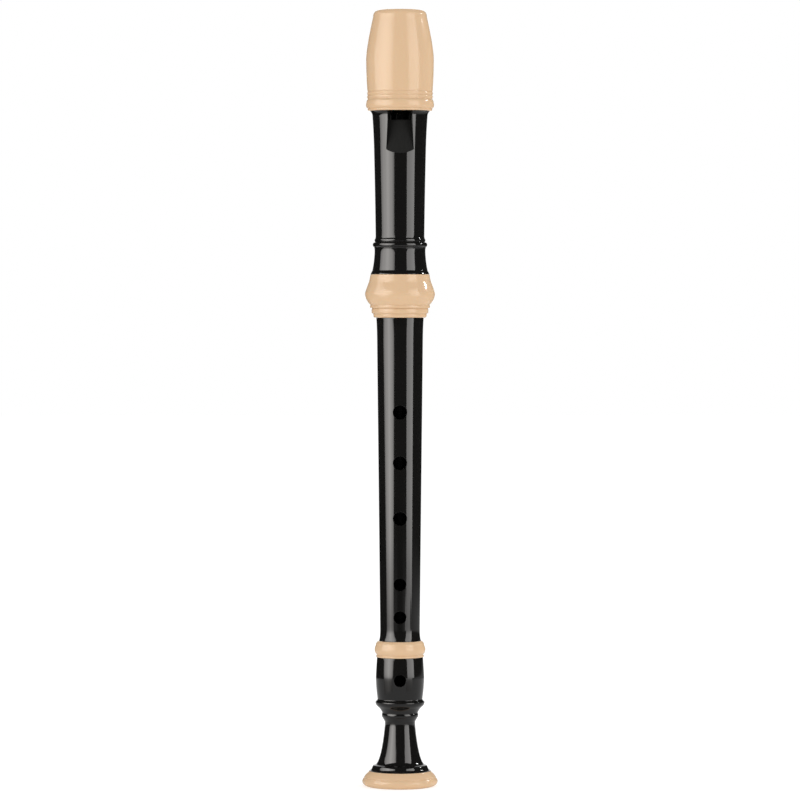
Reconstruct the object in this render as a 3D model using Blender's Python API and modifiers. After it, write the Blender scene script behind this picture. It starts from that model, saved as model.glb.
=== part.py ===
"""A six-hole soprano recorder in three joints, moulded in black ABS with ivory ABS fittings.

It stands on its foot: +Z runs up the bore from the foot's base to the tip of the beak, and the
window and the finger holes face -Y. Lengths are in metres, and a radius is measured from the
bore's axis. Outer radii are worked out from the bore and the walls round it. Heights inside a
joint are measured from that joint's own lower end, and the joints are stacked from the foot.
"""

import math

import bmesh
import bpy
from mathutils import Matrix, Vector

# How finely round shapes are divided
SEGMENTS = 32
HOLE_SEGMENTS = 24
BEAK_SEGMENTS = 128
ARCH_STEPS = 8
SHARP_ANGLE = math.radians(32)

# How far a cutter reaches past what it cuts, and the ramp's cutter as a share of the ramp's length
OVERCUT = 0.0010
RAMP_OVERRUN = 1.25

# Gaps between pieces
FIT_GAP = 0.0003
SOCKET_REST = 0.0005

# Bore, from the window to the foot
HEAD_BORE = 0.0067
MIDDLE_BORE_TOP = 0.0064
MIDDLE_BORE_END = 0.0051
FOOT_BORE = 0.0048
FOOT_BORE_FLARE = 0.0014
FOOT_BORE_FLARE_LENGTH = 0.0120

# Tenons, and the walls of the sockets that take them
UPPER_TENON_WALL = 0.0020
UPPER_TENON_LENGTH = 0.0188
LOWER_TENON_WALL = 0.0017
LOWER_TENON_LENGTH = 0.0120
TENON_CHAMFER = 0.0006
TENON_RIB_COUNT = 3
TENON_RIB_RISE = 0.00018
TENON_RIB_WIDTH = 0.0012
TENON_RIB_PITCH = 0.0026
HEAD_SLEEVE_WALL = 0.0013
FOOT_SLEEVE_WALL = 0.00115

# Ivory ring at the end of the foot
RING_HEIGHT = 0.0064
RING_FLAT_WIDTH = 0.0030
RING_BULGE = 0.0020
RING_WIDEST_HEIGHT = 0.0024

# Foot joint
FOOT_SPIGOT_WALL = 0.0046
FOOT_SPIGOT_RECESS = 0.0005
FOOT_BODY_LENGTH = 0.04815
BELL_RIM_WALL = 0.0086
BELL_STEP_HEIGHT = 0.0026
BELL_STEP_WALL = 0.0062
BELL_STEP_WIDTH = 0.00065
WAIST_WALL = 0.0016
WAIST_HEIGHT = 0.0198
WAIST_LENGTH = 0.0012
SMALL_BEAD_HEIGHT = 0.0237
SMALL_BEAD_WIDTH = 0.0016
SMALL_BEAD_WALL = 0.00272
SMALL_BEAD_RISE = 0.0002
SHARP_BEAD_HEIGHT = 0.02905
SHARP_BEAD_WALL = 0.00561
SHARP_BEAD_EDGE = 0.0004
BARREL_LENGTH = 0.01685
BARREL_END_WALL = 0.00478
BARREL_WIDEST_WALL = 0.00546
BARREL_WIDEST_HEIGHT = 0.0085
BARREL_TOP_WALL = 0.00495

# Ivory ring round the foot's socket
FOOT_FERRULE_HEIGHT = 0.00665
FOOT_FERRULE_WALL = 0.00145
FOOT_FERRULE_BULGE = 0.00088
FOOT_FERRULE_WIDEST_HEIGHT = 0.0037
FOOT_FERRULE_LIP_HEIGHT = 0.0009
FOOT_FERRULE_LIP_RISE = 0.0001

# Middle joint
MIDDLE_LENGTH = 0.1374
MIDDLE_TOP_WALL = 0.00337
MIDDLE_TOP_FLARE = 0.00035
MIDDLE_TOP_FLARE_LENGTH = 0.0097
MIDDLE_END_WALL = 0.00333
MIDDLE_END_FLARE = 0.0003
MIDDLE_END_FLARE_LENGTH = 0.0049

# Ivory ring round the head's socket
HEAD_FERRULE_HEIGHT = 0.0178
HEAD_FERRULE_LIP_HEIGHT = 0.0015
HEAD_FERRULE_LIP_WALL = 0.00105
HEAD_FERRULE_LIP_ROUND = 0.0004
HEAD_FERRULE_NOTCH_HEIGHT = 0.0045
HEAD_FERRULE_NOTCH_WALL = 0.0017
HEAD_FERRULE_NOTCH_WIDTH = 0.00025
HEAD_FERRULE_BEAD_RISE = 0.00035
HEAD_FERRULE_WIDEST_HEIGHT = 0.0099
HEAD_FERRULE_WIDEST_WALL = 0.00458
HEAD_FERRULE_TOP_WALL = 0.0023

# Head joint, with heights above the shoulder that sits on its ferrule and drops below the cap's seat
HEAD_BODY_LENGTH = 0.0692
HEAD_SHOULDER_WALL = 0.0058
HEAD_STEP_HEIGHT = 0.0014
HEAD_STEP_WALL = 0.00515
HEAD_STEP_WIDTH = 0.0002
HEAD_NECK_HEIGHT = 0.0096
HEAD_NECK_WALL = 0.00413
HEAD_BEAD_HEIGHT = 0.01245
HEAD_BEAD_WIDTH = 0.0021
HEAD_BEAD_WALL = 0.0042
HEAD_BEAD_RISE = 0.00072
HEAD_WAIST_HEIGHT = 0.0162
HEAD_WAIST_WALL = 0.00369
HEAD_BREAST_DROP = 0.0166
HEAD_BREAST_WALL = 0.00435
HEAD_COLLAR_DROP = 0.0023
HEAD_COLLAR_WALL = 0.00502
HEAD_COLLAR_SEAT = 0.00115
CAP_SPIGOT_WALL = 0.0050

# Ivory cap over the beak
CAP_HEIGHT = 0.0426
CAP_WALL = 0.0019
CAP_TIP_EDGE = 0.0026
CAP_WIDEST_RISE = 0.00053
CAP_WIDEST_HEIGHT = 0.0214
CAP_SWELL = 0.00045
CAP_BAND_HEIGHT = 0.0086
CAP_LINE_WIDTH = 0.0013
CAP_LINE_RISE = 0.00012
CAP_LINE_GROOVE = 0.0003
CAP_BEAD_WIDTH = 0.0046
CAP_BEAD_RISE = 0.00046
CAP_RIM_STEP = 0.0003
TIP_ROOF_WALL = 0.0012

# Hollow cut in the back of the beak for the lower lip
BEAK_TIP_THICKNESS = 0.0106
BEAK_LENGTH = 0.0306
BEAK_CURVE_RADIUS = 0.0600

# Windway over the block, window and ramp
WINDWAY_EXIT_WIDTH = 0.0086
WINDWAY_EXIT_HEIGHT = 0.0011
WINDWAY_ENTRY_WIDTH = 0.0104
WINDWAY_ENTRY_HEIGHT = 0.0017
WINDOW_WIDTH = 0.0088
WINDOW_HEIGHT = 0.0042
EDGE_THICKNESS = 0.00035
RAMP_LENGTH = 0.0141
RAMP_TOP_WIDTH = 0.0095
RAMP_END_WIDTH = 0.0111
RAMP_END_ARCH_RADIUS = 0.0147
RAMP_WALL_ANGLE = math.radians(7)
BLOCK_CHAMFER = 0.0004

# Finger holes, each as its height and its diameter
MIDDLE_HOLES = (
    (0.0973, 0.0059),
    (0.0758, 0.0058),
    (0.0522, 0.0058),
    (0.0243, 0.0053),
    (0.0103, 0.0053),
)
FOOT_HOLE = (0.0457, 0.0051)

# Radii that mating pieces share
upper_tenon = MIDDLE_BORE_TOP + UPPER_TENON_WALL
lower_tenon = MIDDLE_BORE_END + LOWER_TENON_WALL
head_socket = upper_tenon + FIT_GAP
foot_socket = lower_tenon + FIT_GAP
head_sleeve = head_socket + HEAD_SLEEVE_WALL
foot_sleeve = foot_socket + FOOT_SLEEVE_WALL
foot_spigot = FOOT_BORE + FOOT_BORE_FLARE + FOOT_SPIGOT_WALL
bell_rim = FOOT_BORE + BELL_RIM_WALL
block_radius = HEAD_BORE - FIT_GAP
roof_at_exit = block_radius + WINDWAY_EXIT_HEIGHT
roof_at_entry = block_radius + WINDWAY_ENTRY_HEIGHT
cap_spigot = HEAD_BORE + CAP_SPIGOT_WALL
spigot_tip = roof_at_entry + TIP_ROOF_WALL
cap_cavity = cap_spigot + FIT_GAP
cavity_tip = spigot_tip + FIT_GAP
cap_lower = cap_cavity + CAP_WALL
cap_tip = cavity_tip + CAP_WALL
clear_of_head = 2 * cap_lower

# Heights that mating pieces share: above the foot's base, then above the head's lower end
bell_base = RING_HEIGHT + FIT_GAP
foot_shoulder = bell_base + FOOT_BODY_LENGTH
foot_ferrule_base = foot_shoulder + FIT_GAP
foot_top = foot_ferrule_base + FOOT_FERRULE_HEIGHT
middle_base = foot_top + FIT_GAP
head_base = middle_base + MIDDLE_LENGTH + FIT_GAP
head_shoulder = HEAD_FERRULE_HEIGHT + FIT_GAP
cap_seat = head_shoulder + HEAD_BODY_LENGTH
cap_base = cap_seat + FIT_GAP
cap_end_wall = cap_base + CAP_HEIGHT - CAP_WALL
spigot_top = cap_end_wall - FIT_GAP
edge_height = cap_base - WINDOW_HEIGHT


def bend(start, end, across, along, count=3):
    """Points of a curve that leaves start, and reaches end, in line with a corner between them.

    The corner lies a share across, in radius, and a share along, in height, of the way to end.
    """
    corner = (start[0] + across * (end[0] - start[0]), start[1] + along * (end[1] - start[1]))
    points = []
    for step in range(count + 2):
        share = step / (count + 1)
        first, second, third = (1 - share) ** 2, 2 * share * (1 - share), share**2
        radius = first * start[0] + second * corner[0] + third * end[0]
        height = first * start[1] + second * corner[1] + third * end[1]
        points.append((radius, height))
    return points


def bead(radius, top, base, rise, count=3):
    """Half-round moulding on a cylinder, from its top to its base; a negative rise makes a groove."""
    middle = (top + base) / 2
    half = (top - base) / 2
    points = []
    for step in range(count + 2):
        angle = math.pi * step / (count + 1)
        points.append((radius + rise * math.sin(angle), middle + half * math.cos(angle)))
    return points


def radius_at(outline, height):
    """Radius of the outline where it first passes a height on its way down."""
    for upper, lower in zip(outline, outline[1:]):
        if lower[1] <= height < upper[1]:
            share = (height - lower[1]) / (upper[1] - lower[1])
            return lower[0] + share * (upper[0] - lower[0])
    return outline[-1][0]


def without_repeats(outline):
    """The outline without points that lie on the one before them."""
    kept = [outline[0]]
    for point in outline[1:]:
        if math.dist(point, kept[-1]) > 1e-6:
            kept.append(point)
    return kept


def plastic(name, colour, roughness):
    """Moulded ABS in one colour."""
    material = bpy.data.materials.new(name)
    material.use_nodes = True
    material.diffuse_color = (*colour, 1.0)
    shader = material.node_tree.nodes["Principled BSDF"]
    shader.inputs["Base Color"].default_value = (*colour, 1.0)
    shader.inputs["Roughness"].default_value = roughness
    shader.inputs["Metallic"].default_value = 0.0
    return material


def place(name, mesh, collection, parent, height=0.0):
    """A new object in a collection, on its parent's axis."""
    thing = bpy.data.objects.new(name, mesh)
    collection.objects.link(thing)
    thing.parent = parent
    thing.location = (0.0, 0.0, height)
    return thing


def turn(thing, outline, closed):
    """Turn an outline of radii and heights, given down its outer side, about the object's Z."""
    points = without_repeats(outline)
    last = len(points) - 1
    edges = [(index, index + 1) for index in range(last)]
    if closed:
        edges.append((last, 0))
    thing.data.from_pydata([(radius, 0.0, height) for radius, height in points], edges, [])
    screw = thing.modifiers.new("Turned", "SCREW")
    screw.steps = SEGMENTS
    screw.render_steps = SEGMENTS
    screw.use_merge_vertices = True
    screw.merge_threshold = 0.00001


def ring_part(name, material, parent, outline, height=0.0):
    """A turned piece with a hole through it: the outline goes down outside and back up inside."""
    mesh = bpy.data.meshes.new(name)
    mesh.materials.append(material)
    thing = place(name, mesh, parts, parent, height)
    turn(thing, outline, closed=True)
    return thing


def solid_part(name, material, parent, outline, height=0.0):
    """A turned piece with no hole: the outline runs down from the axis and back to it."""
    mesh = bpy.data.meshes.new(name)
    mesh.materials.append(material)
    thing = place(name, mesh, parts, parent, height)
    turn(thing, outline, closed=False)
    return thing


def cutter(name, parent, height=0.0):
    """An empty mesh object among the cutters, drawn as wires and never rendered."""
    thing = place(name, bpy.data.meshes.new(name), cutters, parent, height)
    thing.display_type = "WIRE"
    thing.hide_render = True
    return thing


def round_cutter(name, parent, height, matrix, radius, length, segments):
    """A cylinder whose middle and direction come from a matrix that starts along Z."""
    thing = cutter(name, parent, height)
    shape = bmesh.new()
    bmesh.ops.create_cone(
        shape,
        cap_ends=True,
        segments=segments,
        radius1=radius,
        radius2=radius,
        depth=length,
        matrix=matrix,
    )
    shape.to_mesh(thing.data)
    shape.free()
    return thing


def arch(half_width, crown, curve_radius, height):
    """Points across the front, left to right, on an arch that stands crown from the axis."""
    points = []
    for step in range(ARCH_STEPS + 1):
        across = half_width * (2 * step / ARCH_STEPS - 1)
        points.append(Vector((across, across**2 / (2 * curve_radius) - crown, height)))
    return points


def lofted_cutter(name, parent, sections):
    """A closed solid through sections of equal count, each a pair of arches: outer, then inner."""
    thing = cutter(name, parent)
    shape = bmesh.new()
    rings = [[shape.verts.new(point) for point in outer + inner[::-1]] for outer, inner in sections]
    for lower, upper in zip(rings, rings[1:]):
        for index in range(len(lower)):
            shape.faces.new((lower[index - 1], lower[index], upper[index], upper[index - 1]))
    shape.faces.new(rings[0])
    shape.faces.new(rings[-1])
    bmesh.ops.recalc_face_normals(shape, faces=shape.faces)
    shape.to_mesh(thing.data)
    shape.free()
    return thing


def cut(thing, *tools):
    """Take each tool's volume away from a piece."""
    for tool in tools:
        boolean = thing.modifiers.new(tool.name, "BOOLEAN")
        boolean.operation = "DIFFERENCE"
        boolean.solver = "EXACT"
        boolean.object = tool


def finish():
    """Turn every part's modifiers into its mesh, and shade it smooth up to its sharp edges."""
    bpy.context.view_layer.update()
    depsgraph = bpy.context.evaluated_depsgraph_get()
    pieces = [thing for thing in parts.objects if thing.type == "MESH"]
    meshes = [bpy.data.meshes.new_from_object(thing.evaluated_get(depsgraph)) for thing in pieces]
    for thing, mesh in zip(pieces, meshes):
        thing.modifiers.clear()
        thing.data = mesh
        mesh.name = thing.name
        mesh.shade_smooth()
        mesh.set_sharp_from_angle(angle=SHARP_ANGLE)


def tenon(radius, shoulder, end):
    """Outline of a tenon from its shoulder to its end, with fine ribs round its middle."""
    direction = math.copysign(1.0, end - shoulder)
    base = radius - TENON_RIB_RISE
    points = [(base, shoulder)]
    for rib in range(TENON_RIB_COUNT):
        middle = (shoulder + end) / 2 + direction * TENON_RIB_PITCH * (rib - (TENON_RIB_COUNT - 1) / 2)
        half = direction * TENON_RIB_WIDTH / 2
        points += bead(base, middle - half, middle + half, TENON_RIB_RISE, count=1)
    points += [(base, end - direction * TENON_CHAMFER), (base - TENON_CHAMFER, end)]
    return points


def make_foot_end_ring():
    """Ivory ring glued on the spigot below the bell; its underside is what the recorder stands on."""
    inside = foot_spigot + FIT_GAP
    flat = inside + RING_FLAT_WIDTH
    widest = flat + RING_BULGE
    crest = (widest, RING_WIDEST_HEIGHT)
    outline = [(inside, RING_HEIGHT), (bell_rim - FIT_GAP, RING_HEIGHT)]
    outline += bend((bell_rim, RING_HEIGHT - FIT_GAP), crest, across=0.72, along=0.4)
    outline += bend(crest, (flat, 0.0), across=0, along=0.8)
    outline += [(inside, 0.0)]
    return ring_part("foot_end_ring", ivory, foot_joint, outline)


def make_foot_tube():
    """Black foot: socket sleeve, barrel with its finger hole, beads, waist, bell and spigot."""
    waist = FOOT_BORE + WAIST_WALL
    step = FOOT_BORE + BELL_STEP_WALL
    small_bead = FOOT_BORE + SMALL_BEAD_WALL
    sharp_bead = FOOT_BORE + SHARP_BEAD_WALL
    barrel_top = FOOT_BORE + BARREL_TOP_WALL
    barrel_end = FOOT_BORE + BARREL_END_WALL
    barrel = FOOT_BORE + BARREL_WIDEST_WALL
    step_height = bell_base + BELL_STEP_HEIGHT
    waist_base = bell_base + WAIST_HEIGHT
    waist_top = waist_base + WAIST_LENGTH
    small_bead_base = bell_base + SMALL_BEAD_HEIGHT - SMALL_BEAD_WIDTH / 2
    small_bead_top = small_bead_base + SMALL_BEAD_WIDTH
    sharp_height = bell_base + SHARP_BEAD_HEIGHT
    barrel_base = foot_shoulder - BARREL_LENGTH
    barrel_middle = barrel_base + BARREL_WIDEST_HEIGHT

    outline = [(foot_sleeve, foot_top), (foot_sleeve, foot_shoulder)]
    outline += bend((barrel_top, foot_shoulder), (barrel, barrel_middle), across=1, along=0.83)
    outline += bend((barrel, barrel_middle), (barrel_end, barrel_base), across=0, along=1 / 3)
    crest = (sharp_bead, sharp_height + SHARP_BEAD_EDGE)
    outline += bend((barrel_end, barrel_base), crest, across=0, along=0.8, count=2)
    knee = ((sharp_bead + small_bead) / 2, sharp_height - 0.45 * (sharp_height - small_bead_top))
    outline += bend((sharp_bead, sharp_height), knee, across=0, along=0.45, count=2)
    outline += bend(knee, (small_bead, small_bead_top), across=1, along=0.65, count=2)
    outline += bead(small_bead, small_bead_top, small_bead_base, SMALL_BEAD_RISE, count=2)
    outline += bend((small_bead, small_bead_base), (waist, waist_top), across=0.6, along=0.6, count=2)
    outline += bend((waist, waist_base), (step, step_height), across=0.22, along=0.9, count=6)
    ledge = (step + BELL_STEP_WIDTH, step_height)
    outline += bend(ledge, (bell_rim, bell_base), across=0.6, along=0.55, count=2)
    outline += [(foot_spigot, bell_base), (foot_spigot, FOOT_SPIGOT_RECESS)]

    socket_end = middle_base - LOWER_TENON_LENGTH - SOCKET_REST
    mouth = (FOOT_BORE + FOOT_BORE_FLARE, FOOT_SPIGOT_RECESS)
    flare_top = (FOOT_BORE, FOOT_SPIGOT_RECESS + FOOT_BORE_FLARE_LENGTH)
    outline += bend(mouth, flare_top, across=1, along=0.5, count=2)
    outline += [(FOOT_BORE, socket_end), (foot_socket, socket_end), (foot_socket, foot_top)]
    tube = ring_part("foot_tube", black, foot_joint, outline)
    cut(tube, finger_hole("cut_foot_hole", foot_joint, FOOT_HOLE, barrel))
    return tube


def finger_hole(name, parent, hole, surface_radius):
    """Cutter for a hole in the front wall, from past the surface to the bore's axis.

    It is turned by half a side, so that none of its corners meets the tube's foremost edge.
    """
    height, diameter = hole
    length = surface_radius + OVERCUT
    matrix = Matrix.Translation((0.0, -length / 2, 0.0)) @ Matrix.Rotation(math.pi / 2, 4, "X")
    matrix @= Matrix.Rotation(math.pi / HOLE_SEGMENTS, 4, "Z")
    return round_cutter(name, parent, height, matrix, diameter / 2, length, HOLE_SEGMENTS)


def make_foot_ferrule():
    """Ivory ring round the foot's sleeve, a bulge over a fine lip."""
    inside = foot_sleeve + FIT_GAP
    rim = inside + FOOT_FERRULE_WALL
    widest = rim + FOOT_FERRULE_BULGE
    crest = (widest, FOOT_FERRULE_WIDEST_HEIGHT)
    outline = [(inside, FOOT_FERRULE_HEIGHT)]
    outline += bend((rim, FOOT_FERRULE_HEIGHT), crest, across=5 / 6, along=0.75)
    outline += bend(crest, (rim, FOOT_FERRULE_LIP_HEIGHT), across=0, along=2 / 3)
    outline += bead(rim, FOOT_FERRULE_LIP_HEIGHT, 0.0, FOOT_FERRULE_LIP_RISE, count=2)
    outline += [(inside, 0.0)]
    return ring_part("foot_ferrule", ivory, foot_joint, outline, foot_ferrule_base)


def make_middle_tube():
    """Black middle joint: a long taper between two ribbed tenons, with five finger holes."""
    top = MIDDLE_BORE_TOP + MIDDLE_TOP_WALL
    end = MIDDLE_BORE_END + MIDDLE_END_WALL
    tenon_top = MIDDLE_LENGTH + UPPER_TENON_LENGTH
    taper_top = (top, MIDDLE_LENGTH - MIDDLE_TOP_FLARE_LENGTH)
    taper_end = (end, MIDDLE_END_FLARE_LENGTH)
    outline = tenon(upper_tenon, MIDDLE_LENGTH, tenon_top)[::-1]
    outline += bend((top + MIDDLE_TOP_FLARE, MIDDLE_LENGTH), taper_top, across=0.8, along=1 / 3, count=2)
    outline += bend(taper_end, (end + MIDDLE_END_FLARE, 0.0), across=0, along=0.75, count=2)
    outline += tenon(lower_tenon, 0.0, -LOWER_TENON_LENGTH)
    outline += [(MIDDLE_BORE_END, -LOWER_TENON_LENGTH), (MIDDLE_BORE_TOP, tenon_top)]
    tube = ring_part("middle_tube", black, middle_joint, outline)
    for number, hole in enumerate(MIDDLE_HOLES, start=1):
        cut(tube, finger_hole(f"cut_hole_{number}", middle_joint, hole, top + MIDDLE_TOP_FLARE))
    return tube


def make_head_ferrule():
    """Ivory ring round the head's socket: a swelling over a notch, a bead and a lip that turns in."""
    inside = head_sleeve + FIT_GAP
    lip = inside + HEAD_FERRULE_LIP_WALL
    notch = inside + HEAD_FERRULE_NOTCH_WALL
    widest = inside + HEAD_FERRULE_WIDEST_WALL
    top_rim = (inside + HEAD_FERRULE_TOP_WALL, HEAD_FERRULE_HEIGHT)
    crest = (widest, HEAD_FERRULE_WIDEST_HEIGHT)
    lip_top = HEAD_FERRULE_LIP_HEIGHT
    bead_top = HEAD_FERRULE_NOTCH_HEIGHT - HEAD_FERRULE_NOTCH_WIDTH
    outline = [(inside, HEAD_FERRULE_HEIGHT)]
    outline += bend(top_rim, crest, across=1, along=5 / 6, count=5)
    outline += bend(crest, (notch, HEAD_FERRULE_NOTCH_HEIGHT), across=0, along=0.5, count=4)
    outline += bead(notch, bead_top, lip_top, HEAD_FERRULE_BEAD_RISE)
    outline += bend((lip, lip_top), (lip - HEAD_FERRULE_LIP_ROUND, 0.0), across=0, along=1, count=1)
    outline += [(head_socket, 0.0), (head_socket, lip_top), (inside, lip_top)]
    return ring_part("head_ferrule", ivory, head_joint, outline)


def head_tube_outside():
    """Outer side of the head, from the top of its spigot in the cap to the shoulder on its ferrule."""
    seat = (cap_spigot + HEAD_COLLAR_SEAT, cap_seat)
    collar = (HEAD_BORE + HEAD_COLLAR_WALL, cap_seat - HEAD_COLLAR_DROP)
    breast = (HEAD_BORE + HEAD_BREAST_WALL, cap_seat - HEAD_BREAST_DROP)
    waist = (HEAD_BORE + HEAD_WAIST_WALL, head_shoulder + HEAD_WAIST_HEIGHT)
    neck = (HEAD_BORE + HEAD_NECK_WALL, head_shoulder + HEAD_NECK_HEIGHT)
    step = HEAD_BORE + HEAD_STEP_WALL
    bead_radius = HEAD_BORE + HEAD_BEAD_WALL
    bead_base = head_shoulder + HEAD_BEAD_HEIGHT - HEAD_BEAD_WIDTH / 2
    bead_top = bead_base + HEAD_BEAD_WIDTH
    step_height = head_shoulder + HEAD_STEP_HEIGHT

    outline = [(spigot_tip, spigot_top), (cap_spigot, cap_base + CAP_WIDEST_HEIGHT)]
    outline += [(cap_spigot, cap_seat)]
    outline += bend(seat, collar, across=1, along=1 / 3)
    outline += bend(collar, breast, across=0.75, along=0.5)
    outline += bend(breast, waist, across=2 / 3, along=0.5)
    outline += bend(waist, (bead_radius, bead_top), across=0, along=0.6, count=1)
    outline += bead(bead_radius, bead_top, bead_base, HEAD_BEAD_RISE, count=5)
    outline += bend((bead_radius, bead_base), neck, across=1, along=0.5, count=1)
    outline += bend(neck, (step, step_height), across=1 / 8, along=0.5)
    outline += [(step + HEAD_STEP_WIDTH, step_height), (HEAD_BORE + HEAD_SHOULDER_WALL, head_shoulder)]
    return outline


def make_head_tube():
    """Black head: bore, socket, window and ramp, and the windway's roof inside the cap."""
    outside = head_tube_outside()
    socket_end = UPPER_TENON_LENGTH - FIT_GAP + SOCKET_REST
    sleeve_end = HEAD_FERRULE_LIP_HEIGHT + FIT_GAP
    outline = outside + [(head_sleeve, head_shoulder), (head_sleeve, sleeve_end)]
    outline += [(head_socket, sleeve_end), (head_socket, socket_end)]
    outline += [(HEAD_BORE, socket_end), (HEAD_BORE, spigot_top)]
    tube = ring_part("head_tube", black, head_joint, outline)
    cut(tube, make_beak_cutter("cut_beak_in_tube", CAP_WALL + FIT_GAP))
    cut(tube, make_ramp_cutter(outside), make_window_cutter(), make_windway_cutter())
    return tube


def make_ramp_cutter(outside):
    """Recess over the ramp, which rises from the thin edge to the tube's surface, ever less arched."""
    edge_crown = HEAD_BORE + EDGE_THICKNESS
    end_crown = radius_at(outside, edge_height - RAMP_LENGTH)
    stations = (
        (cap_base, 0.0),
        (edge_height, 0.0),
        (edge_height - RAMP_OVERRUN * RAMP_LENGTH, RAMP_OVERRUN),
    )
    sections = []
    for height, share in stations:
        crown = edge_crown + share * (end_crown - edge_crown)
        curve_radius = edge_crown + share * (RAMP_END_ARCH_RADIUS - edge_crown)
        half_width = (RAMP_TOP_WIDTH + share * (RAMP_END_WIDTH - RAMP_TOP_WIDTH)) / 2
        outer_half = half_width + (clear_of_head - crown) * math.tan(RAMP_WALL_ANGLE)
        outer = arch(outer_half, clear_of_head, math.inf, height)
        sections.append((outer, arch(half_width, crown, curve_radius, height)))
    return lofted_cutter("cut_ramp", head_joint, sections)


def make_window_cutter():
    """Opening into the bore between the edge and the end of the block."""
    sections = []
    for height in (edge_height, cap_base):
        outer = arch(WINDOW_WIDTH / 2, clear_of_head, math.inf, height)
        inner = arch(WINDOW_WIDTH / 2, HEAD_BORE / 2, math.inf, height)
        sections.append((outer, inner))
    return lofted_cutter("cut_window", head_joint, sections)


def windway_section(height, floor_drop):
    """Outline of the windway at a height; floor_drop lowers its floor below the block's crown."""
    share = (height - cap_base) / CAP_HEIGHT
    half_width = (WINDWAY_EXIT_WIDTH + share * (WINDWAY_ENTRY_WIDTH - WINDWAY_EXIT_WIDTH)) / 2
    roof = roof_at_exit + share * (roof_at_entry - roof_at_exit)
    floor = block_radius - floor_drop
    return arch(half_width, roof, roof, height), arch(half_width, floor, block_radius, height)


def make_windway_cutter():
    """Channel in the spigot's wall, which leaves the windway's roof over the block."""
    heights = (cap_base - OVERCUT, spigot_top + OVERCUT)
    sections = [windway_section(height, OVERCUT) for height in heights]
    return lofted_cutter("cut_windway", head_joint, sections)


def make_slot_cutter():
    """Slot through the cap's end wall, in line with the windway."""
    heights = (cap_end_wall - OVERCUT, cap_base + CAP_HEIGHT + OVERCUT)
    sections = [windway_section(height, 0.0) for height in heights]
    return lofted_cutter("cut_slot", head_joint, sections)


def make_beak_cutter(name, depth):
    """Cylinder across the back of the beak; depth sets it that much deeper than the beak's surface."""
    tip = Vector((BEAK_TIP_THICKNESS - cap_tip, cap_base + CAP_HEIGHT))
    end_height = cap_base + CAP_HEIGHT - BEAK_LENGTH
    end = Vector((radius_at(cap_outside(), end_height - cap_base), end_height))
    chord = end - tip
    to_centre = Vector((-chord.y, chord.x)).normalized()
    centre = (tip + end) / 2 + to_centre * math.sqrt(BEAK_CURVE_RADIUS**2 - (chord.length / 2) ** 2)
    matrix = Matrix.Translation((0.0, centre.x, centre.y)) @ Matrix.Rotation(math.pi / 2, 4, "Y")
    radius = BEAK_CURVE_RADIUS + depth
    return round_cutter(name, head_joint, 0.0, matrix, radius, 2 * clear_of_head, BEAK_SEGMENTS)


def cap_outside():
    """Outer side of the cap, down from its tip to its lower rim."""
    widest = (cap_lower + CAP_WIDEST_RISE, CAP_WIDEST_HEIGHT)
    shoulder = (cap_tip, CAP_HEIGHT - CAP_TIP_EDGE)
    swell = 2 * CAP_SWELL / (widest[0] - cap_tip)
    line_top = CAP_BAND_HEIGHT
    groove_top = line_top - CAP_LINE_WIDTH
    groove_base = groove_top - CAP_LINE_WIDTH / 2
    bead_top = groove_base - CAP_LINE_WIDTH
    outline = bend((cap_tip - CAP_TIP_EDGE, CAP_HEIGHT), shoulder, across=1, along=0, count=4)
    outline += bend(shoulder, widest, across=0.5 + swell, along=0.5, count=5)
    outline += bend(widest, (cap_lower, line_top), across=0, along=0.5, count=2)
    outline += bead(cap_lower, line_top, groove_top, CAP_LINE_RISE, count=1)
    outline += bead(cap_lower, groove_top, groove_base, -CAP_LINE_GROOVE, count=1)
    outline += bead(cap_lower, groove_base, bead_top, CAP_LINE_RISE, count=1)
    outline += bead(cap_lower, bead_top, bead_top - CAP_BEAD_WIDTH, CAP_BEAD_RISE, count=5)
    outline += [(cap_lower - CAP_RIM_STEP, 0.0)]
    return outline


def make_mouthpiece_cap():
    """Ivory shell over the head's spigot, hollowed behind the beak and slotted at its end."""
    outline = [(0.0, CAP_HEIGHT)] + cap_outside() + [(0.0, 0.0)]
    cap = solid_part("mouthpiece_cap", ivory, head_joint, outline, cap_base)
    cavity = cutter("cut_cap_cavity", head_joint, cap_base)
    cavity_outline = [
        (0.0, CAP_HEIGHT - CAP_WALL),
        (cavity_tip, CAP_HEIGHT - CAP_WALL),
        (cap_cavity, CAP_WIDEST_HEIGHT),
        (cap_cavity, -OVERCUT),
        (0.0, -OVERCUT),
    ]
    turn(cavity, cavity_outline, closed=False)
    cut(cavity, make_beak_cutter("cut_beak_inside", CAP_WALL))
    cut(cap, make_beak_cutter("cut_beak", 0.0), cavity, make_slot_cutter())
    return cap


def make_windway_block():
    """Black plug in the bore above the window: windway floor in front, beak's curve at the back."""
    outline = [
        (0.0, spigot_top),
        (block_radius, spigot_top),
        (block_radius, cap_base + BLOCK_CHAMFER),
        (block_radius - BLOCK_CHAMFER, cap_base),
        (0.0, cap_base),
    ]
    block = solid_part("windway_block", black, head_joint, outline)
    cut(block, make_beak_cutter("cut_beak_in_block", CAP_WALL + FIT_GAP))
    return block


for existing in list(bpy.data.objects):
    bpy.data.objects.remove(existing, do_unlink=True)

parts = bpy.data.collections.new("recorder")
cutters = bpy.data.collections.new("cutters")
for group in (parts, cutters):
    bpy.context.scene.collection.children.link(group)

black = plastic("black_abs", (0.008, 0.008, 0.007), 0.18)
ivory = plastic("ivory_abs", (0.75, 0.52, 0.31), 0.32)

# The middle joint carries the other two: the head slides on its upper tenon, and the foot turns
# on its lower one
middle_joint = place("middle_joint", None, parts, None, middle_base)
head_joint = place("head_joint", None, parts, middle_joint, head_base - middle_base)
foot_joint = place("foot_joint", None, parts, middle_joint, -middle_base)

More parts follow.
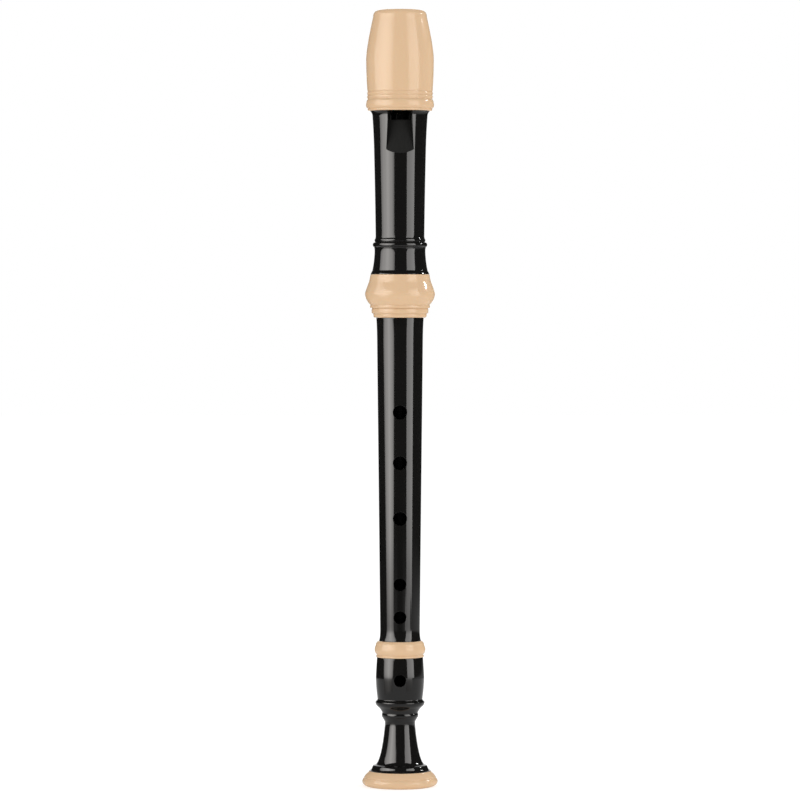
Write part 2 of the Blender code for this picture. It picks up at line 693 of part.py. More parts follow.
make_foot_end_ring()
make_foot_tube()
make_foot_ferrule()
make_middle_tube()
make_head_ferrule()
make_head_tube()
make_windway_block()
make_mouthpiece_cap()
finish()
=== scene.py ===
"""Looks of the six-hole recorder: its turned and cut pieces, its two plastics, and its studio.

Outlines are pairs of radius and height in millimetres, heights from the foot's base.
"""

import math

import bmesh
import bpy
from mathutils import Matrix, Vector


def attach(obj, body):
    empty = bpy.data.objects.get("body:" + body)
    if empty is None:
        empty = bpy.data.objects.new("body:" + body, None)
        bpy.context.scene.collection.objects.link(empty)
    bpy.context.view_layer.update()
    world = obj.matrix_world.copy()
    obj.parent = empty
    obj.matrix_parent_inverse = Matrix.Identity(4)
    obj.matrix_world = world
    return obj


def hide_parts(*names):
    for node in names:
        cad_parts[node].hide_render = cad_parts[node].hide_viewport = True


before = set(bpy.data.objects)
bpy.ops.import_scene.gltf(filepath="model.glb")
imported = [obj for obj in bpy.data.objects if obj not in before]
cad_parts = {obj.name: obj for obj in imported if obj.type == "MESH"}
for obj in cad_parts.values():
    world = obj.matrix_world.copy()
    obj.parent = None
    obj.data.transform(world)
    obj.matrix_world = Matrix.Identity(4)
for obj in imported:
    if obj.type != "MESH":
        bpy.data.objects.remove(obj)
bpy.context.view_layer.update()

# Outlines are in millimetres, and meshes in metres
MM = 0.001
SIDES = 160
LONGEST_ROW = 2.0
# A corner of an outline that turns by more than this many degrees is eased by MOULDED_EDGE
SHARP_CORNER = 25
MOULDED_EDGE = 0.15
# Faces that meet at more than this many degrees keep a crisp edge
CRISP_EDGE = 32
RIB_RISE = 0.18
RIB_WIDTH = 1.2
RIB_PITCH = 2.6
TENON_CHAMFER = 0.6
HOLE_SIDES = 72
HOLE_RIM_RADIUS = 0.2


def bend(start, end, across, along, count=14):
    """Points of a curve that leaves start, and reaches end, in line with a corner between them.

    The corner lies a share across, in radius, and a share along, in height, of the way to end.
    """
    corner = (start[0] + across * (end[0] - start[0]), start[1] + along * (end[1] - start[1]))
    points = []
    for step in range(count + 2):
        share = step / (count + 1)
        weights = ((1 - share) ** 2, 2 * share * (1 - share), share**2)
        mixed = [sum(w * p[i] for w, p in zip(weights, (start, corner, end))) for i in (0, 1)]
        points.append(tuple(mixed))
    return points


def bead(radius, top, base, rise, count=9):
    """Half-round moulding down a cylinder, or a groove where its rise is negative."""
    half = (top - base) / 2
    turns = [math.pi * step / (count + 1) for step in range(count + 2)]
    return [(radius + rise * math.sin(turn), base + half + half * math.cos(turn)) for turn in turns]


def tenon(radius, shoulder, end):
    """A tenon from its shoulder to its chamfered end, with three fine ribs round its middle."""
    away = math.copysign(1, end - shoulder)
    base = radius - RIB_RISE
    points = [(base, shoulder)]
    for rib in (-1, 0, 1):
        middle = (shoulder + end) / 2 + away * RIB_PITCH * rib
        half = away * RIB_WIDTH / 2
        points += bead(base, middle - half, middle + half, RIB_RISE, count=5)
    return points + [(base, end - away * TENON_CHAMFER), (base - TENON_CHAMFER, end)]


def bent(vert):
    """How far an outline turns at one of its points."""
    ways = [(edge.other_vert(vert).co - vert.co).normalized() for edge in vert.link_edges]
    return math.pi - ways[0].angle(ways[1])


def turned(outline, closed=True, sides=SIDES, edge=MOULDED_EDGE):
    """The shape that an outline makes when it turns about Z, with its corners eased."""
    shape = bmesh.new()
    verts = [shape.verts.new((radius, 0, height)) for radius, height in outline]
    for pair in zip(verts, verts[1:] + verts[:1] if closed else verts[1:]):
        shape.edges.new(pair)
    bmesh.ops.remove_doubles(shape, verts=shape.verts, dist=0.001)
    joints = [vert for vert in shape.verts if len(vert.link_edges) == 2]
    for corner in [vert for vert in joints if bent(vert) > math.radians(SHARP_CORNER)]:
        bmesh.ops.bevel(
            shape,
            geom=[corner],
            offset=edge,
            offset_type="OFFSET",
            segments=3,
            profile=0.5,
            affect="VERTICES",
            clamp_overlap=True,
            material=-1,
        )
    for side in list(shape.edges):
        cuts = math.ceil(side.calc_length() / LONGEST_ROW) - 1
        if cuts > 0:
            bmesh.ops.subdivide_edges(shape, edges=[side], cuts=cuts)
    bmesh.ops.spin(
        shape,
        geom=shape.verts[:] + shape.edges[:],
        axis=(0, 0, 1),
        cent=(0, 0, 0),
        angle=math.tau,
        steps=sides,
        use_merge=True,
    )
    bmesh.ops.remove_doubles(shape, verts=shape.verts, dist=0.0005)
    bmesh.ops.recalc_face_normals(shape, faces=shape.faces)
    bmesh.ops.scale(shape, vec=(MM, MM, MM), verts=shape.verts)
    return shape


def as_piece(name, shape, *materials):
    """An object at the origin that holds a shape, smooth up to its crisp edges."""
    mesh = bpy.data.meshes.new(name)
    shape.to_mesh(mesh)
    shape.free()
    for material in materials:
        mesh.materials.append(material)
    mesh.shade_smooth()
    mesh.set_sharp_from_angle(angle=math.radians(CRISP_EDGE))
    piece = bpy.data.objects.new(name, mesh)
    bpy.context.scene.collection.objects.link(piece)
    return piece


def carve(piece, *cutters):
    """Take the cutters' volumes out of a piece; a cutter leaves its own finish on what it cuts."""
    for cutter in cutters:
        cut = piece.modifiers.new(cutter.name, "BOOLEAN")
        cut.operation = "DIFFERENCE"
        cut.solver = "EXACT"
        cut.material_mode = "TRANSFER"
        cut.object = cutter
    bpy.context.view_layer.update()
    graph = bpy.context.evaluated_depsgraph_get()
    carved = bpy.data.meshes.new_from_object(piece.evaluated_get(graph))
    piece.modifiers.clear()
    piece.data = carved
    carved.shade_smooth()
    carved.set_sharp_from_angle(angle=math.radians(CRISP_EDGE))
    for cutter in cutters:
        bpy.data.objects.remove(cutter)


def finger_hole(height, diameter, surface, material):
    """Cutter for a finger hole whose eased rim follows the round of the tube at radius surface."""
    radius = diameter / 2
    outline = [(0, 0), (radius, 0)]
    for turn in (0, 15, 30, 45):
        turn = math.radians(turn)
        across = radius + HOLE_RIM_RADIUS * (1 - math.cos(turn))
        outline.append((across, surface - HOLE_RIM_RADIUS * (1 - math.sin(turn))))
    # From the rim the cutter goes on at 45 degrees, and then clear of the tube
    outline += [(radius + 0.5, surface + 0.38), (radius + 0.5, surface + 2), (0, surface + 2)]
    shape = turned(outline, closed=False, sides=HOLE_SIDES, edge=0.001)
    for vert in shape.verts:
        vert.co.z -= MM * surface - math.sqrt((MM * surface) ** 2 - vert.co.x**2)
    forward = Matrix.Rotation(math.pi / 2, 3, "X")
    bmesh.ops.rotate(shape, verts=shape.verts, cent=(0, 0, 0), matrix=forward)
    bmesh.ops.translate(shape, verts=shape.verts, vec=(0, 0, height * MM))
    return as_piece(f"cut_at_{height:.0f}", shape, material)


def colour(code):
    """Linear colour of an sRGB hex code."""
    parts = [int(code[i : i + 2], 16) / 255 for i in (1, 3, 5)]
    linear = [p / 12.92 if p <= 0.04045 else ((p + 0.055) / 1.055) ** 2.4 for p in parts]
    return (*linear, 1.0)


def add(tree, kind, inputs=None, **settings):
    """Add a node with its settings, and put a value or a node's output on each input named."""
    node = tree.nodes.new(kind)
    for name, value in settings.items():
        setattr(node, name, value)
    for name, value in (inputs or {}).items():
        if isinstance(value, bpy.types.NodeSocket):
            tree.links.new(value, node.inputs[name])
        else:
            node.inputs[name].default_value = value
    return node


# Black ABS from a polished mould. It is a deep, even black with a mirror gloss: lamps show in it
# with hard edges, only just uneven where the wall sank in cooling, and slightly dulled by handling.
black_abs = bpy.data.materials.new("polished_black_abs")
black_abs.use_nodes = True
tree = black_abs.node_tree
gloss = tree.nodes["Principled BSDF"]
place = add(tree, "ShaderNodeTexCoord").outputs["Object"]
# Sink marks of about 25 mm, a few microns deep
sink = add(tree, "ShaderNodeTexNoise", {"Vector": place, "Scale": 40, "Detail": 1})
# Hairlines lengthwise from sliding through fingers and case, 0.3 mm apart and 15 mm long
along = add(tree, "ShaderNodeMapping", {"Vector": place, "Scale": (3300, 3300, 65)})
hairs = add(tree, "ShaderNodeTexNoise", {"Vector": along.outputs[0], "Scale": 1, "Detail": 2})
# Haze of skin grease in patches of 8 mm
haze = add(
    tree,
    "ShaderNodeTexNoise",
    {"Vector": place, "Scale": 125, "Detail": 3, "Roughness": 0.6},
)
worn = add(tree, "ShaderNodeMath", {0: haze.outputs[0], 1: hairs.outputs[0]}, operation="MULTIPLY")
rough = add(
    tree,
    "ShaderNodeMapRange",
    {"Value": worn.outputs[0], "From Min": 0.12, "From Max": 0.42, "To Min": 0.045, "To Max": 0.1},
)
shade = add(
    tree,
    "ShaderNodeMix",
    {"Factor": haze.outputs[0], "A": colour("#121211"), "B": colour("#161514")},
    data_type="RGBA",
)
ease = add(tree, "ShaderNodeBevel", {"Radius": 0.00015}, samples=4)
waves = add(
    tree,
    "ShaderNodeBump",
    {"Height": sink.outputs[0], "Distance": 0.00001, "Strength": 0.5, "Normal": ease.outputs[0]},
)
tree.links.new(shade.outputs["Result"], gloss.inputs["Base Color"])
tree.links.new(rough.outputs[0], gloss.inputs["Roughness"])
tree.links.new(waves.outputs[0], gloss.inputs["Normal"])
gloss.inputs["IOR"].default_value = 1.5

middle_outline = tenon(8.4, 199.5, 218.3)[::-1]
middle_outline += bend((10.12, 199.5), (9.77, 189.8), across=0.8, along=1 / 3)
middle_outline += bend((8.43, 67.0), (8.95, 62.1), across=0, along=0.75)
middle_outline += tenon(6.8, 62.1, 50.1)
middle_outline += [(5.1, 50.1), (6.4, 218.3)]
# Each hole's height and diameter, on the straight taper from (8.43, 67.0) to (9.77, 189.8)
middle_holes = ((159.4, 5.9), (137.9, 5.8), (114.3, 5.8), (86.4, 5.3), (72.4, 5.3))
hole_cutters = []
for height, diameter in middle_holes:
    surface = 8.43 + 1.34 * (height - 67.0) / 122.8
    hole_cutters.append(finger_hole(height, diameter, surface, black_abs))

middle = as_piece("middle_joint_tube", turned(middle_outline), black_abs)
carve(middle, *hole_cutters)
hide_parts("middle_tube")
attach(middle, "middle_joint")

# Head joint: the thick black tube that speaks. It is one moulding with a flared collar under the
# cap, a slender body with a bead, and a socket. A slide in the mould forms the window and its ramp.
WINDOW_TOP = 287.4
WINDOW_HALF = 4.4
RAMP_TOP = 283.2
RAMP_LENGTH = 14.1
# Cutters through the front reach this far from the axis, and the ramp's runs on past its end
FRONT_REACH = 28
RAMP_OVERRUN = 1.25
RAMP_WALL_ANGLE = 7
WINDWAY_LENGTH = 42.6
WINDWAY_FLOOR = 5.4
# The hollow of the beak, in y and z, and how much deeper it is cut in the tube and block
BEAK_CURVE_CENTRE = (58.25, 340.07)
BEAK_CURVE_RADIUS = 60
TUBE_HOLLOW_DEPTH = 2.2

head_outline = [(9.3, 327.8), (11.7, 308.8), (11.7, 287.1)]
head_outline += bend((12.85, 287.1), (11.72, 284.8), across=1, along=1 / 3)
head_outline += bend((11.72, 284.8), (11.05, 270.5), across=0.75, along=0.5)
head_outline += bend((11.05, 270.5), (10.39, 234.1), across=2 / 3, along=0.5)
head_outline += bend((10.39, 234.1), (10.68, 232.9), across=0, along=0.6, count=5)
head_outline += bead(10.7, 232.9, 231.8, 0.14, count=5)
head_outline += bead(10.9, 231.5, 229.4, 0.72)
head_outline += bend((11.05, 229.4), (10.83, 227.9), across=1, along=0.4, count=5)
head_outline += bend((10.83, 227.5), (11.8, 219.45), across=1 / 8, along=0.5)
head_outline += [(11.95, 219.3), (12.6, 217.9), (10.0, 217.9), (10.0, 201.6), (8.7, 201.6)]
head_outline += [(8.7, 218.8), (6.7, 218.8), (6.7, 327.8)]


def arch(half_width, crown, round_radius, height, count=24):
    """Points across the front, left to right, on an arch whose crown is that far from the axis."""
    across = [half_width * (2 * step / count - 1) for step in range(count + 1)]
    return [(x, x * x / (2 * round_radius) - crown, height) for x in across]


def lofted(name, material, *sections):
    """Cutter through sections of equal count, each an outer and an inner arch."""
    shape = bmesh.new()
    loops = []
    for outer, inner in sections:
        ring = [shape.verts.new(Vector(point) * MM) for point in outer + inner[::-1]]
        loops.append([shape.edges.new(pair) for pair in zip(ring, ring[1:] + ring[:1])])
    bmesh.ops.edgeloop_fill(shape, edges=loops[0])
    bmesh.ops.edgeloop_fill(shape, edges=loops[-1])
    for lower, upper in zip(loops, loops[1:]):
        bmesh.ops.bridge_loops(shape, edges=lower + upper)
    bmesh.ops.recalc_face_normals(shape, faces=shape.faces)
    return as_piece(name, shape, material)


def ramp_section(height, share):
    """The ramp's recess, share of the way down: its floor gets wider and less arched."""
    crown = 7.05 + share * 3.97
    half_width = (9.5 + share * 2.4) / 2
    spread = (FRONT_REACH - crown) * math.tan(math.radians(RAMP_WALL_ANGLE))
    outer = arch(half_width + spread, FRONT_REACH, math.inf, height)
    return outer, arch(half_width, crown, 12.0 + share * 2.7, height)


def window_section(height):
    """The window, which goes through the wall between square sides."""
    outer = arch(WINDOW_HALF, FRONT_REACH, math.inf, height)
    return outer, arch(WINDOW_HALF, 3.35, math.inf, height)


def windway_section(height, floor):
    """The windway at a height: both its walls and its roof spread towards the player's lips."""
    share = (height - WINDOW_TOP) / WINDWAY_LENGTH
    half_width = 4.3 + 0.9 * share
    roof = 7.5 + 0.6 * share
    return arch(half_width, roof, roof, height), arch(half_width, floor, 6.4, height)


def beak_cutter(name, material, depth):
    """Cylinder across the back of the beak, depth deeper than the hollow of the cap."""
    shape = bmesh.new()
    centre = Matrix.Translation(Vector((0, *BEAK_CURVE_CENTRE)) * MM)
    radius = (BEAK_CURVE_RADIUS + depth) * MM
    bmesh.ops.create_cone(
        shape,
        cap_ends=True,
        segments=512,
        radius1=radius,
        radius2=radius,
        depth=0.06,
        matrix=centre @ Matrix.Rotation(math.pi / 2, 4, "Y"),
    )
    return as_piece(name, shape, material)


# The slide's face over the ramp is spark eroded, so that plastic is a dull dark grey between glossy
# walls. Its pits are about 0.05 mm wide, drawn at 0.15 mm so that they show.
ramp_abs = bpy.data.materials.new("spark_eroded_black_abs")
ramp_abs.use_nodes = True
tree = ramp_abs.node_tree
matte = tree.nodes["Principled BSDF"]
place = add(tree, "ShaderNodeTexCoord").outputs["Object"]
pits = add(tree, "ShaderNodeTexNoise", {"Vector": place, "Scale": 6500, "Detail": 2})
shade = add(
    tree,
    "ShaderNodeMix",
    {"Factor": pits.outputs[0], "A": colour("#141413"), "B": colour("#1d1d1c")},
    data_type="RGBA",
)
grain = add(
    tree,
    "ShaderNodeBump",
    {"Height": pits.outputs[0], "Distance": 0.00003, "Strength": 0.4},
)
tree.links.new(shade.outputs["Result"], matte.inputs["Base Color"])
tree.links.new(grain.outputs[0], matte.inputs["Normal"])
matte.inputs["Roughness"].default_value = 0.8
matte.inputs["Specular IOR Level"].default_value = 0.12
matte.inputs["IOR"].default_value = 1.5

head = as_piece("head_joint_tube", turned(head_outline), black_abs)
ramp_end = RAMP_TOP - RAMP_OVERRUN * RAMP_LENGTH
carve(
    head,
    beak_cutter("cut_beak_in_tube", black_abs, TUBE_HOLLOW_DEPTH),
    lofted(
        "cut_ramp",
        ramp_abs,
        ramp_section(WINDOW_TOP, 0),
        ramp_section(RAMP_TOP, 0),
        ramp_section(ramp_end, RAMP_OVERRUN),
    ),
    lofted("cut_window", black_abs, window_section(RAMP_TOP), window_section(WINDOW_TOP)),
    lofted(
        "cut_windway",
        black_abs,
        windway_section(286.4, WINDWAY_FLOOR),
        windway_section(328.8, WINDWAY_FLOOR),
    ),
)
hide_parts("head_tube")
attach(head, "head_joint")

# Windway block: a black ABS plug pressed into the bore above the window. Its front is the floor of
# the windway, its lower edge has a small chamfer, and its back follows the hollow of the beak.
block_outline = [(0, 327.8), (6.4, 327.8), (6.4, 287.8), (6.0, WINDOW_TOP), (0, WINDOW_TOP)]
block = as_piece("block_plug", turned(block_outline, closed=False), black_abs)
carve(block, beak_cutter("cut_beak_in_block", black_abs, TUBE_HOLLOW_DEPTH))
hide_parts("windway_block")
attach(block, "head_joint")

# Beak cap: an ivory ABS shell pushed over the head's spigot, slotted at its end for the breath and
# hollowed behind for the lower lip. Its lower rim carries three fine lines and a round bead.
CAP_WALL_BEHIND = 1.9
SLOT_FLOOR = 6.4

# Ivory ABS from a satin mould. The pigment makes it opaque but for a trace of light under the skin,
# lamps spread into soft bands on it, and the fine texture and flow of the melt leave it uneven.
ivory_abs = bpy.data.materials.new("satin_ivory_abs")
ivory_abs.use_nodes = True
tree = ivory_abs.node_tree
satin = tree.nodes["Principled BSDF"]
place = add(tree, "ShaderNodeTexCoord").outputs["Object"]
# Swirls of pigment about 15 mm long, and specks of 0.4 mm
swirl = add(tree, "ShaderNodeTexNoise", {"Vector": place, "Scale": 65, "Detail": 2})
specks = add(tree, "ShaderNodeTexNoise", {"Vector": place, "Scale": 2500, "Detail": 2})
mottle = add(
    tree,
    "ShaderNodeMix",
    {"Factor": swirl.outputs[0], "A": colour("#debc96"), "B": colour("#e0be9a")},
    data_type="RGBA",
)
speckled = add(
    tree,
    "ShaderNodeMix",
    {"Factor": 0.1, "A": mottle.outputs["Result"], "B": specks.outputs["Color"]},
    data_type="RGBA",
    blend_type="SOFT_LIGHT",
)
rough = add(
    tree,
    "ShaderNodeMapRange",
    {"Value": swirl.outputs[0], "From Min": 0.3, "From Max": 0.7, "To Min": 0.12, "To Max": 0.16},
)
ease = add(tree, "ShaderNodeBevel", {"Radius": 0.00025}, samples=4)
skin = add(
    tree,
    "ShaderNodeBump",
    {"Height": specks.outputs[0], "Distance": 0.000008, "Strength": 0.4, "Normal": ease.outputs[0]},
)
tree.links.new(speckled.outputs["Result"], satin.inputs["Base Color"])
tree.links.new(rough.outputs[0], satin.inputs["Roughness"])
tree.links.new(skin.outputs[0], satin.inputs["Normal"])
satin.inputs["IOR"].default_value = 1.5
satin.inputs["Specular IOR Level"].default_value = 0.27
satin.inputs["Subsurface Weight"].default_value = 0.12
satin.inputs["Subsurface Radius"].default_value = (1.0, 0.6, 0.35)
satin.inputs["Subsurface Scale"].default_value = 0.0008

cap_outline = [(0, 330.0)] + bend((8.5, 330.0), (11.42, 327.2), across=1, along=0.05)
cap_outline += bend((11.42, 327.2), (14.4, 309.3), across=0.95, along=0.7)
cap_outline += bend((14.4, 309.3), (13.9, 296.0), across=0, along=0.5)
for line_top in (295.6, 294.1, 292.5):
    cap_outline += bead(13.9, line_top, line_top - 0.5, -0.15, count=3)
    cap_outline += bead(13.9, line_top - 0.5, line_top - 1.3, 0.1, count=3)
cap_outline += bend((14.0, 291.9), (14.46, 289.7), across=0.9, along=0.4, count=6)
cap_outline += bend((14.46, 289.6), (13.75, 288.2), across=0, along=0.75, count=6)
cap_outline += bead(13.62, 288.15, 287.5, 0.14, count=3) + [(13.45, 287.15), (0, 287.15)]
cavity_outline = [(0, 328.1), (9.6, 328.1), (12.0, 308.8), (12.0, 286.0), (0, 286.0)]

cap = as_piece("beak_cap_shell", turned(cap_outline, closed=False), ivory_abs)
cavity = as_piece("cut_cavity", turned(cavity_outline, closed=False), ivory_abs)
carve(cavity, beak_cutter("cut_beak_inside", ivory_abs, CAP_WALL_BEHIND))
mouth = [windway_section(height, SLOT_FLOOR) for height in (327.0, 331.0)]
slot = lofted("cut_slot", ivory_abs, *mouth)
carve(cap, beak_cutter("cut_beak", ivory_abs, 0), cavity, slot)
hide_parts("mouthpiece_cap")
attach(cap, "head_joint")

# Head ferrule: a turned-looking ivory ring pushed over the head's socket sleeve and glued, a
# swelling over a notch, a bead and a lip that turns in under the sleeve, in the cap's satin ABS.
head_ring_outline = [(10.3, 217.85)]
head_ring_outline += bend((12.6, 217.85), (13.35, 214.4), across=0.35, along=0.6, count=8)
head_ring_outline += bend((13.35, 214.4), (14.88, 209.7), across=1, along=0.826, count=20)
head_ring_outline += bend((14.88, 209.7), (12.75, 204.95), across=0, along=0.5, count=20)
head_ring_outline += bead(12.6, 204.85, 203.65, 0.16, count=5) + bead(11.85, 203.5, 201.3, 0.27)
head_ring_outline += bend((11.4, 201.3), (10.95, 199.55), across=0, along=1, count=4)
head_ring_outline += [(8.7, 199.55), (8.7, 201.3), (10.3, 201.3)]
head_ring = as_piece("head_socket_ring", turned(head_ring_outline), ivory_abs)
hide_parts("head_ferrule")
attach(head_ring, "head_joint")

# Foot joint: a short black ABS moulding with a socket at its top, a barrel with the sixth finger
# hole, a sharp bead, a small bead, a waist and a bell. It turns on the middle joint's lower tenon.
foot_outline = [(8.25, 61.8), (8.25, 55.1), (9.8, 55.1)]
foot_outline += bend((9.8, 55.0), (10.26, 46.5), across=1, along=0.83)
foot_outline += bend((10.26, 46.5), (9.5, 37.2), across=0, along=0.4)
foot_outline += bend((9.55, 37.1), (10.41, 36.2), across=0.45, along=0.6, count=8)
foot_outline += bend((10.41, 35.75), (8.965, 33.7), across=0, along=0.45, count=8)
foot_outline += bend((8.965, 33.7), (7.52, 31.2), across=1, along=0.65, count=8)
foot_outline += bead(7.52, 31.2, 29.6, 0.2, count=7)
foot_outline += bend((7.52, 29.6), (6.4, 27.7), across=0.6, along=0.6, count=8)
foot_outline += bend((6.4, 26.5), (10.15, 9.45), across=0.38, along=0.86, count=24)
foot_outline += bend((11.3, 9.05), (11.8, 8.1), across=0.5, along=0.3, count=6)
foot_outline += bend((11.85, 8.0), (13.1, 6.75), across=0.25, along=0.8, count=8) + [(13.25, 6.7)]
foot_outline += [(10.8, 6.7), (10.8, 0.5)]
foot_outline += bend((6.2, 0.5), (4.78, 12.5), across=1, along=0.5)
foot_outline += [(4.78, 49.6), (7.1, 49.6), (7.1, 61.8)]
# The core of this bore is spark eroded too, so the bore is dull and the finger hole looks black
core_outline = [(0, 12.8), (4.8, 12.8), (4.8, 49.4), (0, 49.4)]

foot = as_piece("foot_joint_tube", turned(foot_outline), black_abs)
core = as_piece("cut_core", turned(core_outline, closed=False), ramp_abs)
carve(foot, core, finger_hole(45.7, 5.1, 10.25, black_abs))
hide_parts("foot_tube")
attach(foot, "foot_joint")

# Foot ferrule: a narrow ivory ring glued round the foot's socket sleeve, a bulge over a fine lip.
# It keeps the thin socket from splitting, and is the same satin ABS as the other rings.
foot_ring_outline = [(8.55, 62.05)]
foot_ring_outline += bend((9.3, 62.05), (10.33, 60.4), across=1, along=0.55, count=8)
foot_ring_outline += bend((10.35, 60.1), (10.8, 58.5), across=0.9, along=0.5, count=8)
foot_ring_outline += bend((10.8, 58.5), (10.05, 56.4), across=0, along=0.6, count=8)
foot_ring_outline += bead(10.0, 56.35, 56.0, -0.12, count=3)
foot_ring_outline += bead(10.0, 56.0, 55.15, 0.16, count=5) + [(8.55, 55.15)]
foot_ring = as_piece("foot_socket_ring", turned(foot_ring_outline), ivory_abs)
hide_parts("foot_ferrule")
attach(foot_ring, "foot_joint")

# End ring: the ivory ring glued on the spigot under the bell, with a sharp-shouldered bulge and a
# narrow flat that the recorder stands on. It is the same satin ABS as the other rings.
end_ring_outline = [(11.1, 6.65), (13.1, 6.65)]
end_ring_outline += bend((13.3, 6.25), (15.26, 4.15), across=0.6, along=0.43)
end_ring_outline += bead(15.26, 4.1, 3.75, -0.06, count=3)
end_ring_outline += bend((15.48, 3.65), (16.1, 2.4), across=0.58, along=0.47, count=8)
end_ring_outline += bend((16.1, 2.4), (13.4, 0), across=0.05, along=0.8)
end_ring_outline += [(11.1, 0)]
end_ring = as_piece("foot_base_ring", turned(end_ring_outline), ivory_abs)
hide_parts("foot_end_ring")
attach(end_ring, "foot_joint")

# Floor: a plain pale studio sheet. The camera sees it as white as the backdrop, and its own diffuse
# part keeps the soft shadow round the foot.
GLOW = 0.56
shape = bmesh.new()
bmesh.ops.create_circle(shape, cap_ends=True, segments=96, radius=6)
sheet = bpy.data.materials.new("matte_white_sheet")
sheet.use_nodes = True
tree = sheet.node_tree
tree.nodes.clear()
paper = add(tree, "ShaderNodeBsdfDiffuse", {"Color": colour("#c8c8c8")})
ray = add(tree, "ShaderNodeLightPath")
seen = add(
    tree,
    "ShaderNodeMath",
    {0: ray.outputs["Is Camera Ray"], 1: ray.outputs["Is Transmission Ray"]},
    operation="MAXIMUM",
)
# A little of the glow is enough in the gloss of the plastics, and most of it lights the undersides
for kind, part in (("Is Glossy Ray", 0.05), ("Is Diffuse Ray", 0.9)):
    seen = add(
        tree,
        "ShaderNodeMath",
        {0: ray.outputs[kind], 1: part, 2: seen.outputs[0]},
        operation="MULTIPLY_ADD",
    )
level = add(tree, "ShaderNodeMath", {0: seen.outputs[0], 1: GLOW}, operation="MULTIPLY")
white = add(tree, "ShaderNodeEmission", {"Color": (1, 1, 1, 1), "Strength": level.outputs[0]})
both = add(tree, "ShaderNodeAddShader", {0: paper.outputs[0], 1: white.outputs[0]})
add(tree, "ShaderNodeOutputMaterial", {"Surface": both.outputs[0]})
floor = as_piece("floor", shape, sheet)

# Backdrop: white where it is seen, straight on or in a reflection, and a little less as the even
# light that falls on the plastic, as from a room of white cloth.
world = bpy.data.worlds.new("backdrop")
bpy.context.scene.world = world
world.use_nodes = True
tree = world.node_tree
tree.nodes.clear()
ray = add(tree, "ShaderNodeLightPath")
seen = add(
    tree,
    "ShaderNodeMath",
    {0: ray.outputs["Is Camera Ray"], 1: ray.outputs["Is Glossy Ray"]},
    operation="MAXIMUM",
)
seen = add(
    tree,
    "ShaderNodeMath",
    {0: ray.outputs["Is Transmission Ray"], 1: seen.outputs[0]},
    operation="MAXIMUM",
)
level = add(tree, "ShaderNodeMapRange", {"Value": seen.outputs[0], "To Min": 0.82, "To Max": 1.0})
cloth = add(tree, "ShaderNodeBackground", {"Color": (1, 1, 1, 1), "Strength": level.outputs[0]})
add(tree, "ShaderNodeOutputWorld", {"Surface": cloth.outputs[0]})


# Studio screens: cards that only the gloss sees. Dark ones all round keep the black plastic black,
# and lit ones draw the long stripes down both sides of the tubes and one down the back.
CARD_STEPS = 48
CARD_FOOT = 0.3


def screen(name, outline, near, far, lights, tint=(1, 1, 1)):
    """A curved card from an outline of radius, height and share of the light, between two azimuths.

    The azimuths are degrees left of the camera, each a pair: one on the floor, and one that holds
    from the height CARD_FOOT up. The lights are pairs of a share of the way across and a strength.
    """
    shape = bmesh.new()
    across = shape.verts.layers.float.new("across")
    share = shape.verts.layers.float.new("share")
    verts = []
    for radius, height, level in outline:
        verts.append(shape.verts.new((radius, 0, height)))
        verts[-1][share] = level
    for pair in zip(verts, verts[1:]):
        shape.edges.new(pair)
    whole = shape.verts[:] + shape.edges[:]
    bmesh.ops.spin(shape, geom=whole, axis=(0, 0, 1), cent=(0, 0, 0), angle=1, steps=CARD_STEPS)
    for vert in shape.verts:
        turned_by = math.atan2(vert.co.y, vert.co.x)
        vert[across] = abs(turned_by)
        up = min(vert.co.z / CARD_FOOT, 1)
        first, last = (low + up * (high - low) for low, high in (near, far))
        turn = math.radians(-90 - first - vert[across] * (last - first))
        vert.co = Matrix.Rotation(turn - turned_by, 3, "Z") @ vert.co
    material = bpy.data.materials.new(name)
    material.use_nodes = True
    tree = material.node_tree
    tree.nodes.clear()
    place = add(tree, "ShaderNodeAttribute", attribute_name="across")
    ramp = add(tree, "ShaderNodeValToRGB", {"Fac": place.outputs["Fac"]})
    ramp.color_ramp.interpolation = "EASE"
    while len(ramp.color_ramp.elements) < len(lights):
        ramp.color_ramp.elements.new(0.5)
    brightest = max(light for spot, light in lights)
    for element, (spot, light) in zip(ramp.color_ramp.elements, lights):
        element.position = spot
        element.color = tuple(light / brightest * part for part in tint) + (1,)
    fall = add(tree, "ShaderNodeAttribute", attribute_name="share")
    power = add(
        tree,
        "ShaderNodeMath",
        {0: fall.outputs["Fac"], 1: brightest},
        operation="MULTIPLY",
    )
    glow = add(
        tree,
        "ShaderNodeEmission",
        {"Color": ramp.outputs["Color"], "Strength": power.outputs[0]},
    )
    add(tree, "ShaderNodeOutputMaterial", {"Surface": glow.outputs[0]})
    card = as_piece(name, shape, material)
    for ray_kind in ("camera", "diffuse", "shadow", "transmission"):
        setattr(card, f"visible_{ray_kind}", False)


tent = [(2.3, 0.001, 1), (2.3, 1.2, 1), (2.3, 2.4, 1), (0.001, 2.4, 1)]
screen("dark_screen", tent, (0, 0), (360, 360), [(0, 0.02), (1, 0.02)])
# Painted reflection of the floor's sheet from half a metre out, with painted shade left and in
# front
painted_far_sheet = [(0.5, 0.001, 1), (0.86, 0.001, 1), (1.12, 0.001, 0.5)]
painted_far_sheet += [(1.5, 0.001, 0.05), (2.3, 0.001, 0.02)]
shade_round = [(0, 0.02), (0.03, 0.03), (0.06, 0.2), (0.1, 0.2), (0.2, 0.02), (0.4, 0.02)]
shade_round += [(0.6, 0.3), (0.75, 0.45), (0.9, 0.2), (0.94, 0.2), (0.97, 0.03), (1, 0.02)]
screen("shaded_sheet", painted_far_sheet, (0, 0), (360, 360), shade_round)
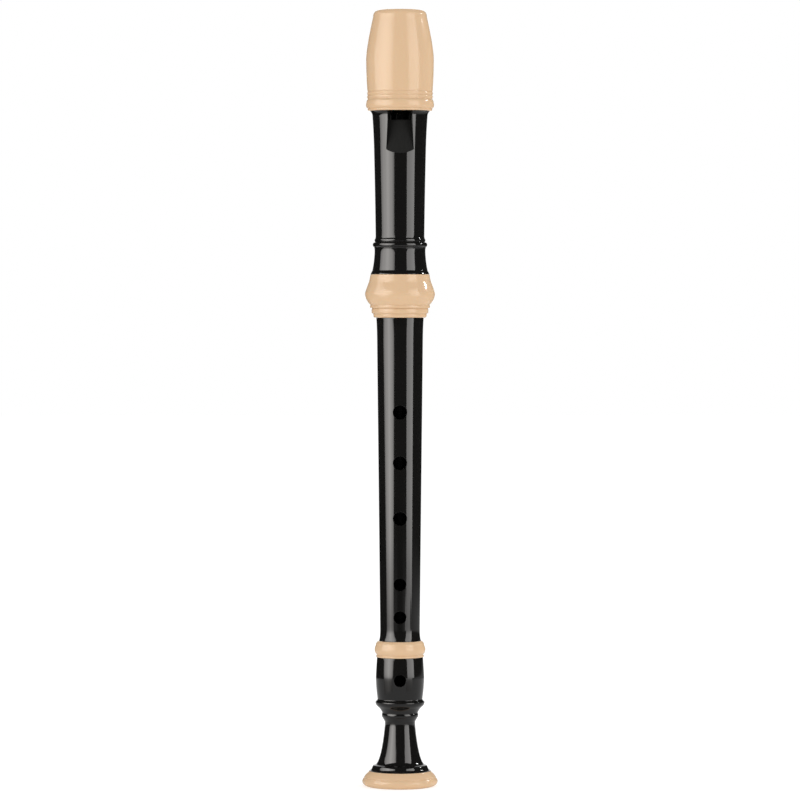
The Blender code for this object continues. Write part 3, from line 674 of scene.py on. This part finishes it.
# Each softbox card carries a painted pool of light on the floor's sheet before it, dimmer near the
# recorder
painted_lit_sheet = [(0.15, 0.002, 0.12), (0.35, 0.002, 0.2), (0.45, 0.002, 0.28), (0.55, 0.002, 0.38)]
painted_lit_sheet += [(0.7, 0.002, 0.46), (0.9, 0.002, 0.62)]
box = [(0.9, 0.002, 0.62), (0.9, 0.02, 0.72), (0.9, 0.04, 0.92), (0.9, 0.07, 1)]
box += [(0.9, 0.3, 1), (0.9, 0.78, 1)]
left_fall = [(0, 2.95), (0.2, 5.7), (0.45, 7.2), (0.7, 5.5), (1, 2.95)]
right_fall = [(0, 4.8), (1, 3.7)]
screen("left_softbox", painted_lit_sheet + box, (36.5, 24), (82, 97), left_fall, (1, 0.97, 0.94))
screen("right_softbox", box, (-71, -68), (-37, -30), right_fall, (1, 0.98, 0.96))
# The right softbox's painted pool of light on the floor's sheet, on a card of its own
screen("right_painted_sheet", painted_lit_sheet, (-60, -60), (-29, -29), right_fall, (1, 0.98, 0.96))
back_fall = [(0, 0.9), (0.5, 1.6), (1, 0.9)]
screen("back_softbox", painted_lit_sheet + box, (165, 165), (195, 195), back_fall)


def lamp(name, place, size, watts, shape="SQUARE", height=0.1, **seen_by):
    """An area lamp aimed at the middle of the recorder, unseen by the camera."""
    light = bpy.data.lights.new(name, "AREA")
    light.shape = shape
    light.size = size
    light.size_y = height
    light.energy = watts
    thing = bpy.data.objects.new(name, light)
    thing.location = place
    aim = Vector((0, 0, 0.165)) - thing.location
    thing.rotation_euler = aim.to_track_quat("-Z", "Y").to_euler()
    thing.visible_camera = False
    for ray_kind, visible in seen_by.items():
        setattr(thing, ray_kind, visible)
    bpy.context.scene.collection.objects.link(thing)


# Three soft lamps for the ivory's own colour, and a small one that only sparkles on its curves
lamp("fill_left", (-1.3, -1.0, 0.8), 1.0, 3.2, visible_glossy=False)
lamp("fill_right", (1.2, -1.2, 0.8), 1.0, 3, visible_glossy=False)
lamp("rim_right", (1.0, 0.9, 0.4), 0.6, 6, visible_glossy=False)
lamp("spark_right", (1.5, 0.547, 0.93), 0.35, 4, shape="ELLIPSE", visible_diffuse=False)

# Camera: level with the upper third of the recorder and square to its holes, with a long lens, as
# in the photograph.
camera = bpy.data.cameras.new("camera")
camera.lens = 198
camera.sensor_width = 36
viewer = bpy.data.objects.new("camera", camera)
viewer.location = (0, -1.87, 0.207)
sight = Vector((0, 0, 0.1645)) - viewer.location
viewer.rotation_euler = sight.to_track_quat("-Z", "Y").to_euler()
bpy.context.scene.collection.objects.link(viewer)
bpy.context.scene.camera = viewer
bpy.context.scene.view_settings.view_transform = "Standard"
